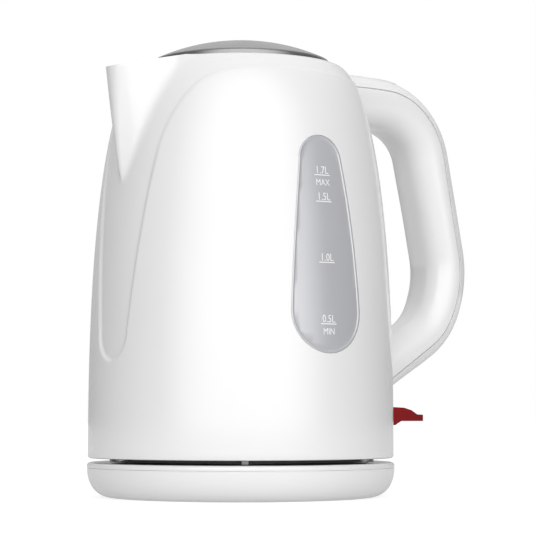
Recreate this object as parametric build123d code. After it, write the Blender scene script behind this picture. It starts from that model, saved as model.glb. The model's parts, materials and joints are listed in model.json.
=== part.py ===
"""Cordless electric kettle: a plastic jug with a hinged lid, on a round power base.

Frame: millimetres, +Z up, origin on the base's axis in the plane it stands on.
The spout points along -X, the handle along +X, and the two water windows face -Y and +Y.
"""

from math import asin, cos, pi, radians, sin, sqrt, tan
import os

from build123d import *

# ---------------------------------------------------------------- driving dimensions
clearance = 0.15            # between fitted pieces of one body
running_gap = 0.4           # between pieces that move past each other

# power base
base_radius = 79.0
base_height = 18.0
base_seam_z = 15.2          # where the cover meets the pan
base_foot_radius = 66.0     # outer edge of the ring the base stands on
base_wall = 2.2
base_recess = 1.4           # underside set up from the foot ring

# jug outline
jug_gap = 2.2               # daylight between the base and the jug's lower edge
jug_radius = 78.6
jug_height = 202.0
rim_radius = 50.6           # outer edge of the flat rim round the lid
outline_power = 0.8         # how full the shoulder is
wall = 2.6
neck_radius = 45.0
recess_depth = 1.1          # front and back strips and the band round the rim, set in from the sides
recess_rim_inset = 0.8
recess_low_z = 69.0         # round end of the strips
recess_low_half = 12.8
recess_high_half = 24.5     # where the strips start to open into the band
recess_high_z = 176.0
band_z = 214.2              # lower edge of the band
floor_z = 56.0              # underside of the inner floor flange
floor_thickness = 3.0
floor_opening = 58.0

# spout
spout_reach = 79.5          # tip, from the axis
spout_low_z = 157.0         # where the beak leaves the jug
spout_nose = 9.5            # radius of the nose at the tip
spout_wall = 2.2
spout_tip_drop = 6.0        # tip below the rim

# water windows
window_low_z = 72.0
window_high_z = 180.0
window_low_radius = 20.8
window_high_radius = 13.0
window_bulge = 0.9          # how far the sides bow past a straight taper
window_flange = 2.5

# handle
handle_depth = 27.0
handle_width = 33.0
handle_corner = 12.5
handle_wall = 2.4
handle_reach = 131.0        # furthest point of the centreline
handle_top_drop = 12.5      # centreline below the rim
handle_split = 5.5          # seam between frame and cover, outwards of the centreline

# lid
lid_radius = 46.0
lid_rise = 13.4            # top of the lid above the rim
lid_side = 3.0             # upright edge under the dome
lid_round = 1.4
lid_wall = 2.0
lid_edge = 1.6
lid_gap = 0.9               # round the lid's edge
hinge_x = 51.0
hinge_drop = 3.5            # hinge axis below the rim
hinge_pin_radius = 1.25
knuckle_radius = 3.2
knuckle_half_width = 6.0

# lid button and latch
button_x = 88.0
button_length = 19.4
button_width = 15.8
button_travel = 3.0
button_stand = 0.7          # cap proud of the handle

# switch
switch_z = 40.5
switch_pivot_x = 72.0
switch_reach = 112.0
switch_width = 20.0
switch_throw = 12.0         # degrees

# heater and control
heater_radius = 63.2
heater_sheet = 0.6
seal_thickness = 1.4
diffuser_radius = 45.0
diffuser_thickness = 3.0
element_ring = 36.0
element_radius = 3.3
control_radius = 28.0
control_low_z = 34.1
control_height = 11.9

# 360 degree connector
socket_radius = 17.5
socket_top_z = 31.0
socket_groove = (8.0, 11.0)
skirt_wall = 2.4

# cord inlet in the base
inlet_radius = 3.6
inlet_length = 12.0
inlet_z = 9.2
inlet_barrel = 5.0

# worked out from the values above
jug_foot_z = base_height + jug_gap
rim_z = jug_foot_z + jug_height
handle_z = rim_z - handle_top_drop
hinge_z = rim_z - hinge_drop
lid_seat_z = rim_z - 3.0
plate_top_z = floor_z - seal_thickness
diffuser_low_z = plate_top_z - heater_sheet - diffuser_thickness


# ---------------------------------------------------------------- small helpers
def span(x0, x1, y0, y1, z0, z1):
    """A box given by its lowest and highest corners."""
    return Pos((x0 + x1) / 2, (y0 + y1) / 2, (z0 + z1) / 2) * Box(x1 - x0, y1 - y0, z1 - z0)


def post(radius, z0, z1, x=0.0, y=0.0):
    """An upright cylinder."""
    return Pos(x, y, (z0 + z1) / 2) * Cylinder(radius, z1 - z0)


def ring(outer, inner, z0, z1, x=0.0, y=0.0):
    """An upright tube."""
    return post(outer, z0, z1, x, y) - post(inner, z0 - 1, z1 + 1, x, y)


def rod_x(radius, x0, x1, y=0.0, z=0.0):
    """A cylinder along X."""
    return Pos((x0 + x1) / 2, y, z) * Rot(0, 90, 0) * Cylinder(radius, x1 - x0)


def rod_y(radius, y0, y1, x=0.0, z=0.0):
    """A cylinder along Y."""
    return Pos(x, (y0 + y1) / 2, z) * Rot(90, 0, 0) * Cylinder(radius, y1 - y0)


def around(count, radius, first=0.0):
    """Points spaced evenly round the Z axis, as (x, y, angle in degrees)."""
    angles = [first + 360.0 * i / count for i in range(count)]
    return [(radius * cos(radians(a)), radius * sin(radians(a)), a) for a in angles]


def turned(*edges):
    """The solid made by turning a closed outline, drawn in the XZ plane, round the Z axis."""
    return revolve(make_face(Plane.XZ * Wire(edges)), Axis.Z)


def turned_polygon(*points):
    """The solid made by turning a straight-sided outline of (radius, z) points."""
    return turned(*Polyline(*points, close=True).edges())


def slab_xz(outline, y0, y1):
    """An outline of (x, z) points drawn in the XZ plane and extruded from y0 to y1."""
    face = make_face(Plane.XZ * Polyline(*outline, close=True))
    return Pos(0, y1, 0) * extrude(face, amount=y1 - y0, dir=(0, -1, 0))


def together(pieces):
    """One shape holding separate solids."""
    return Compound(children=[s for p in pieces for s in p.solids()])


def screw(shank, length, head, head_height):
    """A pan-head screw pointing up, its head's underside at the origin."""
    return post(shank, -0.01, length) + post(head, -head_height, 0) - span(
        -head * 0.7, head * 0.7, -0.35, 0.35, -head_height - 1, -head_height * 0.5
    )


# ---------------------------------------------------------------- jug outline
def outline_points(foot, rim, height, count=10):
    """The jug's side as (radius, z): a rounded shoulder that runs flat into the rim."""
    turns = [pi / 2 * i / (count - 1) for i in range(count)]
    return [
        (rim + (foot - rim) * cos(t), jug_foot_z + height * sin(t) ** outline_power) for t in turns
    ]


def radius_at(z, inset=0.0):
    """The jug's outer radius at a height, less an inset."""
    rise = min(1.0, max(0.0, (z - jug_foot_z) / jug_height))
    lean = sqrt(max(0.0, 1 - rise ** (2 / outline_power)))
    return rim_radius + (jug_radius - rim_radius) * lean - inset


def turned_side(side):
    """A full solid with the given side, turned from its (radius, z) points."""
    top = side[-1][1]
    return turned(
        Line((0, jug_foot_z), side[0]),
        Spline(*side, tangents=[(0, 1), (-1, 0)]),
        Line(side[-1], (0, top)),
        Line((0, top), (0, jug_foot_z)),
    )


def jug_solid(inset=0.0):
    """The jug's raised outside as a full solid, set in by a distance."""
    return turned_side(outline_points(jug_radius - inset, rim_radius - inset, jug_height - inset))


def recess_solid(inset=0.0):
    """The same for the recessed strips and band, which reach the rim's full height."""
    foot = jug_radius - recess_depth - inset
    return turned_side(outline_points(foot, rim_radius - recess_rim_inset - inset, jug_height - inset))


def recess_prism(shrink=0.0):
    """The recess seen from the front and pushed through the jug, shrunk by a distance."""
    low, half, wide = recess_low_z + shrink, recess_low_half - shrink, recess_high_half - shrink
    band = band_z + shrink
    right = [
        ThreePointArc((0, low), (half * 0.68, low + 4.2), (half, low + 15)),
        Line((half, low + 15), (wide, recess_high_z)),
        ThreePointArc((wide, recess_high_z), (wide + 4.7, recess_high_z + 16), (wide + 12, recess_high_z + 30.5)),
        ThreePointArc((wide + 12, recess_high_z + 30.5), (wide + 19, band - 2.2), (wide + 31.5, band)),
        Line((wide + 31.5, band), (99, band)),
        Line((99, band), (99, 260)),
        Line((99, 260), (0, 260)),
    ]
    half_face = make_face(Plane.YZ * Wire(right + [Line((0, 260), (0, low))]))
    prism = Pos(-120, 0, 0) * extrude(half_face, amount=240, dir=(1, 0, 0))
    return prism + mirror(prism, Plane.XZ)


def jug_outside(clear=0.0):
    """The jug's outside with its recess, grown by a clearance."""
    return recess_solid(-clear) + (jug_solid(-clear) - recess_prism(clear))


# ---------------------------------------------------------------- power base
def base_bowl(inset, low_z):
    """The bowl-shaped edge of the pan, from its foot to its seam."""
    foot = (base_foot_radius - inset, low_z)
    edge = (base_radius - inset, base_seam_z)
    return Bezier(foot, (foot[0] + 8.0, low_z), (edge[0], low_z + 6.0), edge)


base_screw_ring = 50.0
base_screw_post = 4.0


def make_base_pan():
    outer = base_bowl(0.0, 0.0)
    inner = base_bowl(base_wall, base_recess + base_wall)
    ring_inner = base_foot_radius - 4.0
    lines = Polyline(
        inner @ 0,
        (0, base_recess + base_wall),
        (0, base_recess),
        (ring_inner, base_recess),
        (ring_inner, 0),
        outer @ 0,
    )
    pan = turned(outer, Line(outer @ 1, inner @ 1), inner, *lines.edges())
    for x, y, _ in around(3, base_screw_ring, 90):
        pan -= post(1.8, 0, base_height, x, y)
        pan += ring(base_screw_post, 1.8, base_recess + base_wall - 0.1, 6.0, x, y)
    for x, y, _ in around(4, base_foot_radius - 2.0, 45):
        pan -= post(foot_pad_radius + clearance, -1, foot_pad_depth, x, y)
        pan += ring(foot_pad_radius + 1.7, foot_pad_radius + clearance, 0.0, 2.4, x, y) & post(
            base_foot_radius - 0.1, 0, 9
        )
        pan += post(foot_pad_radius + 1.7, foot_pad_depth, foot_pad_depth + 1.5, x, y) & post(
            base_foot_radius - 0.1, 0, 9
        )
    return pan - rod_x(inlet_barrel + clearance, base_radius - 11, base_radius + 5, 0, inlet_z)


foot_pad_radius = 3.4
foot_pad_depth = 2.2


def make_base_feet():
    pads = around(4, base_foot_radius - 2.0, 45)
    keep = post(base_foot_radius - 0.2, 0, 9)
    return together([post(foot_pad_radius, 0, foot_pad_depth - 0.1, x, y) & keep for x, y, _ in pads])


def make_base_cover():
    top = base_height
    seam = base_seam_z + clearance
    lip = base_radius - base_wall - 0.4
    plate = top - 2.0
    hole = socket_radius + 0.5
    cover = turned(
        Line((hole, top), (base_radius - 1.6, top - 0.1)),
        ThreePointArc(
            (base_radius - 1.6, top - 0.1), (base_radius - 0.4, top - 0.6), (base_radius, top - 1.7)
        ),
        Line((base_radius, top - 1.7), (base_radius, seam)),
        Line((base_radius, seam), (lip, seam)),
        Line((lip, seam), (lip, seam - 2.5)),
        Line((lip, seam - 2.5), (lip - 1.6, seam - 2.5)),
        Line((lip - 1.6, seam - 2.5), (lip - 1.6, plate)),
        Line((lip - 1.6, plate), (hole, plate)),
        Line((hole, plate), (hole, top)),
    )
    for x, y, _ in around(3, base_screw_ring, 90):
        cover += ring(base_screw_post, 1.3, 6.0 + clearance, plate + 0.1, x, y)
    return cover - rod_x(inlet_barrel + clearance, base_radius - 11, base_radius - 1.9, 0, inlet_z)


def make_base_screws():
    head_z = base_recess + base_wall - 1.2
    spots = around(3, base_screw_ring, 90)
    pan_hole = 1.8
    shank = Pos(0, 0, head_z) * (post(1.2, 0, 10.0) + post(pan_hole - 0.1, -1.0, 1.0))
    return together([Pos(x, y, 0) * shank for x, y, _ in spots])


def make_base_connector():
    groove_in, groove_out = socket_groove
    low = base_height - 4.6
    flange = base_height - 2.0 - 0.1
    body = post(socket_radius + 4.5, low, flange) + post(socket_radius, low, socket_top_z)
    body = fillet(body.edges().filter_by(GeomType.CIRCLE).sort_by(Axis.Z)[-1], 1.2)
    body -= ring(groove_out, groove_in, low + 2.0, socket_top_z + 1)
    body -= post(2.7, low + 1.5, socket_top_z + 1)
    return body


def make_base_contacts():
    groove_in, groove_out = socket_groove
    low = base_height - 4.6
    inner = ring(groove_in + 0.55, groove_in + 0.1, low + 2.1, low + 8.0)
    outer = ring(groove_out - 0.1, groove_out - 0.55, low + 2.1, low + 8.0)
    centre = ring(2.6, 2.1, low + 1.6, low + 9.0)
    return together([inner, outer, centre])


def make_cord_gland():
    outside = base_radius + 1.5
    inside = outside - inlet_length
    gland = rod_x(inlet_barrel, inside, outside, 0, inlet_z)
    gland += rod_x(inlet_barrel + 1.0, outside - 1.4, outside, 0, inlet_z)
    gland += span(inside, inside + 1.8, -6.5, 6.5, inlet_z - 2.6, inlet_z + 3.2)
    return gland - rod_x(inlet_radius, inside - 1, outside + 1, 0, inlet_z)


clamp_x = base_radius - 21.0


def make_cord_clamp():
    low = base_recess + base_wall + 0.1
    x = clamp_x
    bar = span(x - 4, x + 4, -11, 11, low, low + 2.4)
    for y in (-9.0, 9.0):
        bar += span(x - 4, x + 4, y - 2.2, y + 2.2, low, low + 8.0)
        bar -= post(1.3, low + 2.4, low + 9, x, y)
    return bar


def make_clamp_screws():
    top = base_recess + base_wall + 0.1 + 8.0
    head = Rot(180, 0, 0) * screw(1.2, 5.0, 2.6, 1.6)
    return together([Pos(clamp_x, y, top) * head for y in (-9.0, 9.0)])


lead_radius = 1.0


def make_base_leads():
    """Wires from the cord clamp to the underside of the connector."""
    low = base_recess + base_wall + lead_radius + 0.05
    under = base_height - 4.6 - 0.05
    leads = []
    for side in (-1, 1):
        points = [(clamp_x - 4.2, side * 2.0, low), (30, side * 6.0, low), (14, side * 6.0, low), (14, side * 6.0, under)]
        path = FilletPolyline(*points, radius=3.0)
        section = Plane(path @ 0, z_dir=path % 0) * Circle(lead_radius)
        leads.append(sweep(section, path))
    return together(leads)


# ---------------------------------------------------------------- spout
def beak_levels():
    """Heights of the beak's sections, from below its root to above the rim."""
    rise = rim_z - spout_low_z
    return [spout_low_z - 6 + rise * s for s in (0.0, 0.2, 0.35, 0.55, 0.78, 1.2)]


def beak_half_width(z):
    """Half the beak's width where it meets the jug: almost nothing at its root, widest at the rim."""
    return 0.6 + 24.5 * max(0.0, (z - spout_low_z) / (rim_z - spout_low_z)) ** 0.8


def beak_section(z, inset):
    """The beak's outline at a height: a round nose and two sides that run on into the jug."""
    grown = max(0.0, (z - spout_low_z) / (rim_z - spout_tip_drop - spout_low_z))
    root_radius = radius_at(z) - recess_depth
    low_radius = radius_at(spout_low_z) - recess_depth
    tip = low_radius - 0.6 + (spout_reach - low_radius + 0.6) * grown**0.72 - inset
    nose = max(0.4, 1.2 + (spout_nose - 1.2) * min(1.0, grown) ** 0.8 - inset * 0.8)
    half = beak_half_width(z) - inset
    if half < nose:
        half = nose + 0.2
    root = sqrt(root_radius**2 - half**2)
    centre = tip - nose
    flare = asin(min(0.9, (half - nose) / sqrt((half - nose) ** 2 + (centre - root) ** 2)))
    side = (-centre - nose * sin(flare), nose * cos(flare))
    slope = (half - side[1]) / (-root - side[0])
    back = (-root + 7.0, half + 7.0 * slope)
    outline = [
        ThreePointArc((side[0], -side[1], z), (-tip, 0, z), (side[0], side[1], z)),
        Line((side[0], side[1], z), (back[0], back[1], z)),
        Line((back[0], back[1], z), (back[0], -back[1], z)),
        Line((back[0], -back[1], z), (side[0], -side[1], z)),
    ]
    return make_face(Wire(outline))


def beak_solid(inset, lift):
    levels = [z + lift for z in beak_levels()]
    return loft([beak_section(z, inset) for z in levels], ruled=False)


def mouth_cutter():
    """Everything above the slanted mouth of the spout."""
    tip_z = rim_z - spout_tip_drop
    back_z = rim_z - 0.4
    outline = [
        (-spout_reach - 20, tip_z - (back_z - tip_z) * 20 / (spout_reach - rim_radius)),
        (-rim_radius + 1, back_z),
        (-rim_radius + 1, rim_z + 60),
        (-spout_reach - 20, rim_z + 60),
    ]
    return slab_xz(outline, -60, 60)


# ---------------------------------------------------------------- jug shell
hinge_block = (43.0, 62.0, 16.0, 206.0)       # x from, x to, half width, lowest z
hinge_pocket = (59.0, 11.5, 211.0)            # x to, half width, floor z
filter_half_width = 11.5
filter_foot = (-66.0, 180.0)
filter_lean = (12.0, 36.0)
cover_screw_ring = 69.5
clamp_screw_ring = 69.5
boss_radius = 4.0
latch_half_width = 4.0
latch_low_z = 211.4
latch_high_z = 214.0
tube_radius = 2.2
tube_in_z = 202.0
tube_out_z = 54.2


def window_outline(grow=0.0):
    """The window's outline in the XZ plane, grown outwards by a distance."""
    low_r = window_low_radius + grow
    high_r = window_high_radius + grow
    low_c = window_low_z + window_low_radius
    high_c = window_high_z - window_high_radius
    middle = ((low_r + high_r) / 2 + window_bulge, (low_c + high_c) / 2)
    edges = [
        ThreePointArc((high_r, high_c), (0, high_c + high_r), (-high_r, high_c)),
        ThreePointArc((-high_r, high_c), (-middle[0], middle[1]), (-low_r, low_c)),
        ThreePointArc((-low_r, low_c), (0, low_c - low_r), (low_r, low_c)),
        ThreePointArc((low_r, low_c), middle, (high_r, high_c)),
    ]
    return make_face(Plane.XZ * Wire(edges))


def window_prism(grow, side):
    """The window's outline pushed out through the wall on one side, -1 for -Y and 1 for +Y."""
    prism = extrude(window_outline(grow), amount=jug_radius + 10, dir=(0, side, 0))
    return prism & span(-99, 99, min(side * 30, side * 99), max(side * 30, side * 99), 0, 300)


switch_slot_half = switch_width / 2 + 1.3
collar_low_z = rim_z - 15.0
collar_top_z = lid_seat_z - 0.1


def hinge_housing(grow=0.0):
    """The block behind the lid that carries its hinge, grown by a distance."""
    x0, x1, half, low = hinge_block
    block = span(x0, x1 + grow, -half - grow, half + grow, low - grow, rim_z + grow)
    return chamfer(block.edges().filter_by(Axis.X).sort_by(Axis.Z)[-2:], 3.0)


def make_jug_shell():
    """The jug's wall and its rim, with the rails of the filter inside the spout's doorway."""
    shell = jug_outside() - jug_solid(wall)
    shell -= spout_doorway()
    shell += filter_rails() & jug_solid(wall - 0.5)
    shell -= post(lid_radius + lid_gap, rim_z - 40, rim_z + 9)
    shell -= hinge_housing(0.1)
    for side in (-1, 1):
        shell -= window_prism(0.0, side)
    x1 = jug_radius + 5
    shell -= span(switch_pivot_x, x1, -switch_slot_half, switch_slot_half, switch_z - 7, switch_z + 7.5)
    shell -= rod_x(tube_radius + 0.3, 66, x1, 0, tube_out_z)
    return shell - rod_x(tube_radius + 0.3, 50, x1, 0, tube_in_z)


def make_jug_floor():
    """The ring that seats the heater inside the jug, and the bosses for the screws from below."""
    inside = jug_solid(wall + 0.12)
    seat = ring(jug_radius - wall + 0.5, floor_opening, floor_z, floor_z + floor_thickness) & inside
    for x, y, _ in around(3, cover_screw_ring, 58):
        seat += post(boss_radius, bottom_plate_z[1] + 0.2, floor_z + 1, x, y) & inside
        seat -= post(1.3, bottom_plate_z[1] - 5, floor_z - 2, x, y)
    for x, y, _ in around(3, clamp_screw_ring, 30):
        seat += post(boss_radius, plate_top_z - heater_sheet, floor_z + 1, x, y) & inside
        seat -= post(1.3, floor_z - 9, floor_z + floor_thickness - 0.8, x, y)
    return seat - rod_x(tube_radius + 0.3, 66, jug_radius + 5, 0, tube_out_z)


def spout_doorway():
    """The opening in the jug's wall between the water and the spout."""
    half = filter_half_width + 0.5
    return span(-spout_reach - 9, -rim_radius + 0.2, -half, half, filter_foot[1] - 2, rim_z + 9)


def filter_rails():
    """Two rails beside the filter and a sill under it."""
    guide = filter_half_width + 0.3
    rails = filter_slab(-guide - 1.8, guide + 1.8, -1.9, -0.3, -3.4, 2.2)
    for side in (-1, 1):
        y0, y1 = sorted((side * guide, side * (guide + 1.8)))
        rails += filter_slab(y0, y1, -0.4, filter_height - 5, -2.2, 2.2)
    return rails


def make_spout():
    """The beak's wall, open at the top and into the doorway behind it."""
    beak = beak_solid(0.0, 0.0) - recess_solid(-0.05) - beak_solid(spout_wall, 6.0)
    beak -= mouth_cutter()
    return beak - span(-99, -20, -60, 60, rim_z, rim_z + 60)


def make_lid_collar():
    """The ring that the lid's seal bears on, with the hinge's housing behind it."""
    collar = ring(neck_radius + wall, neck_radius, collar_low_z, collar_top_z)
    collar += hinge_housing()
    collar -= post(neck_radius, collar_low_z - 9, rim_z + 9)
    collar -= post(lid_radius + lid_gap, lid_seat_z, rim_z + 9)
    collar -= span(40, hinge_pocket[0], -hinge_pocket[1], hinge_pocket[1], hinge_pocket[2], rim_z + 9)
    collar -= rod_y(hinge_pin_radius + 0.05, -14.1, 14.1, hinge_x, hinge_z)
    slot = latch_half_width + 0.4
    x1 = hinge_block[1]
    return collar - span(50, x1 + 9, -slot, slot, latch_low_z - 0.4, latch_high_z + 0.4)


def make_window(side):
    """A clear window in the jug's wall, with a flange behind the wall."""
    pane = window_prism(-clearance, side) & (jug_solid() - jug_solid(wall + 0.1))
    seat = window_prism(window_flange, side) & (jug_solid(wall + 0.1) - jug_solid(wall + 1.6))
    return pane + seat


# ---------------------------------------------------------------- underside of the jug
bottom_plate_z = (jug_foot_z + 0.8, jug_foot_z + 3.0)
foot_rib_ring = 68.0


def make_bottom_cover():
    low, high = bottom_plate_z
    cover = post(jug_radius - wall - 0.4, low, high)
    cover += ring(foot_rib_ring - 2.0, foot_rib_ring - 4.0, base_height + 0.6, low + 0.1)
    cover -= post(socket_radius + 1.1 + skirt_wall + 0.3, low - 9, high + 9)
    for x, y, _ in around(3, cover_screw_ring, 58):
        cover -= post(1.7, low - 1, high + 1, x, y)
    return cover


def make_bottom_screws():
    low, _ = bottom_plate_z
    spots = around(3, cover_screw_ring, 58)
    one = screw(1.2, 14.0, 3.0, 1.6)
    return together([Pos(x, y, low - 0.05) * one for x, y, _ in spots])


def make_jug_feet():
    low, _ = bottom_plate_z
    feet = []
    for x, y, angle in around(5, foot_rib_ring, 22):
        rib = Pos(x, y, (base_height + 0.2 + low) / 2) * Rot(0, 0, angle) * Box(3.4, 3.2, low - base_height - 0.3)
        feet.append(rib)
    return together(feet)


def make_heater_plate():
    top = plate_top_z
    return post(heater_radius, top - heater_sheet, top)


def make_heater_seal():
    return ring(heater_radius + 1.0, floor_opening + 0.6, plate_top_z + 0.05, floor_z - 0.05) + ring(
        heater_radius + 1.0, heater_radius + 0.2, plate_top_z - heater_sheet, plate_top_z + 0.06
    )


def make_heater_diffuser():
    return post(diffuser_radius, diffuser_low_z, diffuser_low_z + diffuser_thickness - 0.02)


element_gap = 34.0          # degrees left open between the element's ends
element_z = diffuser_low_z - element_radius - 0.05


def make_heater_element():
    start = radians(element_gap / 2)
    path = CenterArc((0, 0, element_z), element_ring, element_gap / 2, 360 - element_gap)
    section = Plane(path @ 0, z_dir=path % 0) * Circle(element_radius)
    tube = sweep(section, path)
    ends = [(element_ring * cos(a), element_ring * sin(a)) for a in (start, -start)]
    for x, y in ends:
        tube += post(element_radius, element_z - 5.0, element_z, x, y)
        tube += Pos(x, y, element_z) * Sphere(element_radius)
    return tube


def make_element_terminals():
    start = radians(element_gap / 2)
    low = element_z - 5.1
    pins = []
    for a in (start, -start):
        x, y = element_ring * cos(a), element_ring * sin(a)
        pins.append(post(1.4, low - 4.0, low, x, y) + span(x - 0.4, x + 0.4, y - 3.2, y + 3.2, low - 9, low - 3))
    return together(pins)


def make_clamp_ring():
    high = plate_top_z - heater_sheet - 0.1
    low = high - 1.7
    clamp = ring(heater_radius + 2.0, floor_opening - 0.5, low, high)
    for x, y, angle in around(3, clamp_screw_ring, 30):
        lug = span(heater_radius, clamp_screw_ring, -5, 5, low, high) + post(5.0, low, high, clamp_screw_ring)
        clamp += Rot(0, 0, angle) * lug
        clamp -= post(1.7, low - 1, high + 1, x, y)
    return clamp & jug_solid(wall + 0.5)


def make_clamp_screws_upper():
    low = plate_top_z - heater_sheet - 1.8
    one = screw(1.2, 5.2, 2.8, 1.5)
    return together([Pos(x, y, low - 0.05) * one for x, y, _ in around(3, clamp_screw_ring, 30)])


def make_control_body():
    low, high = control_low_z, control_low_z + control_height
    body = post(control_radius, low, high)
    body -= span(-99, 99, control_radius - 5, 99, low - 1, high + 1)
    body -= span(-99, 99, -99, -control_radius + 5, low - 1, high + 1)
    body += span(control_radius - 4, control_radius + 13, -4.5, 4.5, low, low + 4)
    for x, y, _ in around(2, 14.0, 0):
        body += ring(5.5, 4.0, high - 0.1, diffuser_low_z - 1.0, x, y)
    for x, y, _ in around(2, 16.0, 90):
        body += post(3.0, high - 0.1, diffuser_low_z - 0.1, x, y)
    return body


def make_bimetal_discs():
    low = diffuser_low_z - 0.9
    discs = [post(7.0, low, low + 0.5, x, y) for x, y, _ in around(2, 14.0, 0)]
    return together(discs)


def make_jug_connector():
    skirt_in = socket_radius + 1.1
    skirt_out = skirt_in + skirt_wall
    low = base_height + 1.0
    groove_in, groove_out = socket_groove
    body = ring(skirt_out, skirt_in, low, control_low_z - 0.1)
    body += post(skirt_out, socket_top_z + 1.0, control_low_z - 0.1)
    body += ring(groove_out - 0.95, groove_in + 0.95, low + 2.0, socket_top_z + 1.1)
    return body - post(1.7, low, 99)


def make_connector_pin():
    return post(1.5, base_height + 3.0, control_low_z - 0.2)


# ---------------------------------------------------------------- switch
bracket_x = (52.0, 74.0)
ear_half = (12.2, 14.4)
trip_x = 56.0
link_x = 62.0
steam_disc_x = 66.5


def make_switch_bracket():
    low = bottom_plate_z[1] + 0.1
    floor = low + 2.5
    x0, x1 = bracket_x
    bracket = span(x0, x1, -ear_half[1], ear_half[1], low, floor)
    for side in (-1, 1):
        y0, y1 = sorted((side * ear_half[0], side * ear_half[1]))
        bracket += span(59, x1, y0, y1, floor - 0.1, switch_z + 5.6)
    bracket += span(59, x1 - 1, -ear_half[1], ear_half[1], switch_z + 5.5, switch_z + 6.7)
    bracket += span(trip_x - 3, trip_x + 3, 8.6, 11.0, floor - 0.1, switch_z + 3.5)
    bracket -= rod_y(hinge_pin_radius + 0.05, -99, 99, switch_pivot_x, switch_z)
    bracket -= rod_y(1.6, 0, 99, trip_x, switch_z)
    return bracket


def make_switch_pivot():
    return rod_y(hinge_pin_radius, -ear_half[1] + 0.1, ear_half[1] - 0.1, switch_pivot_x, switch_z)


def make_switch_lever():
    half = switch_width / 2
    tip = switch_reach
    z = switch_z
    paddle = [
        (switch_pivot_x + 1, z - 3.6),
        (tip - 19, z - 4.1),
        (tip - 15, z - 1.9),
        (tip, z - 1.9),
        (tip, z + 1.5),
        (tip - 4, z + 1.7),
        (tip - 8, z + 4.0),
        (tip - 13, z + 5.3),
        (tip - 20, z + 5.6),
        (switch_pivot_x + 1, z + 3.6),
    ]
    lever = slab_xz(paddle, -half, half)
    lever += rod_y(3.6, -half, half, switch_pivot_x, z)
    lever += span(link_x - 1.2, switch_pivot_x, -3, 3, z - 1.2, z + 1.2)
    lever += rod_y(1.2, 2.9, 8.0, link_x, z)
    return lever - rod_y(hinge_pin_radius + 0.1, -99, 99, switch_pivot_x, z)


def make_trip_lever():
    z = switch_z
    y0, y1 = 4.2, 7.6
    hub = rod_y(2.8, y0, y1, trip_x, z) + rod_y(1.5, y1 - 0.1, 10.8, trip_x, z)
    fork = span(trip_x, link_x + 1.4, y0, y1, z - 3.2, z + 3.2)
    fork -= span(link_x - 2.4, link_x + 9, y0 - 1, y1 + 1, z - 1.75, z + 1.75)
    arm = span(trip_x - 6.5, trip_x, y0, y1, z - 1.2, z + 1.2)
    return hub + fork + arm


def make_steam_bimetal():
    return post(6.0, switch_z + 6.8, switch_z + 7.3, steam_disc_x)


def make_switch_lamp():
    low = bottom_plate_z[1] + 2.7
    return rod_y(2.4, -6, 6, switch_pivot_x - 4, low + 2.45)


def make_lamp_leads():
    low = bottom_plate_z[1] + 2.7 + 2.45
    x = switch_pivot_x - 4
    leads = []
    for side in (-1, 1):
        points = [(x, 6.05, low), (x, 7.5, low), (50, 7.5, low), (38, 3.0, low), (38, 3.0, control_low_z - 0.05)]
        path = FilletPolyline(*[(px, side * py, pz) for px, py, pz in points], radius=1.2)
        section = Plane(path @ 0, z_dir=path % 0) * Circle(0.6)
        leads.append(sweep(section, path))
    return together(leads)


# ---------------------------------------------------------------- handle
def handle_path(shift=0.0):
    """The handle's centreline, or a line beside it, shifted towards the jug."""
    lean = handle_reach - 18.5
    low_z = handle_z - 92.5
    points = [
        (rim_radius - 4, 0, handle_z - shift),
        (lean - shift * 0.8, 0, handle_z - shift),
        (handle_reach - shift, 0, low_z),
        (handle_reach - 9 - shift, 0, low_z - 27),
        (handle_reach - 61, 0, low_z - 60 + shift * 1.2),
    ]
    return FilletPolyline(*points, radius=[35, 50, 35])


def handle_section(inset=0.0):
    return RectangleRounded(
        handle_width - 2 * inset, handle_depth - 2 * inset, handle_corner - inset
    )


def handle_run(face):
    """A flat section swept round the handle; its local Y points away from the jug."""
    path = handle_path()
    plane = Plane(path @ 0, x_dir=(0, 1, 0), z_dir=(1, 0, 0))
    return sweep(plane * face, path)


def handle_trim():
    """The jug and its hinge block, grown by a clearance, which the handle butts against."""
    return jug_outside(clearance) + span(0, hinge_block[1] + clearance, -30, 30, 150, 300)


def handle_half(seam, upper, inset=0.0):
    """One half of the handle's section, cut at the seam."""
    reach = 25 if upper else -25
    return handle_section(inset) & (Pos(0, seam + reach) * Rectangle(60, 50))


handle_boss = 2.4
handle_bore = 1.3
handle_seat = 1.4           # depth of the screw heads' seats


def make_handle_frame():
    seam = handle_split - 0.05
    lower = handle_half(seam, False) - handle_section(handle_wall)
    frame = handle_run(lower)
    depth = handle_depth / 2 + seam
    for spot in handle_screw_spots():
        frame += spot * post(handle_boss, handle_wall - 0.3, depth)
        frame -= spot * post(3.0, -4, handle_seat)
        frame -= spot * post(handle_bore + 0.3, -4, depth + 1)
    return frame - handle_trim()


def handle_screw_spots():
    """Where screws enter the frame from the jug's side, pointing at the cover."""
    side = latch_half_width + handle_boss + 0.5
    top = Location((74, 0, handle_z - handle_depth / 2))
    run = Vector(52, 0, 33).normalized()
    out = Vector(run.Z, 0, -run.X)
    middle = Vector(handle_reach - 27, 0, handle_z - 92.5 - 27 - 11.4)
    seat = middle - out * (handle_depth / 2)
    low = Plane((seat.X, 0, seat.Z), x_dir=(0, 1, 0), z_dir=out).location
    return [top * Pos(0, side, 0), top * Pos(0, -side, 0), low * Pos(side, 0, 0), low * Pos(-side, 0, 0)]


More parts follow.
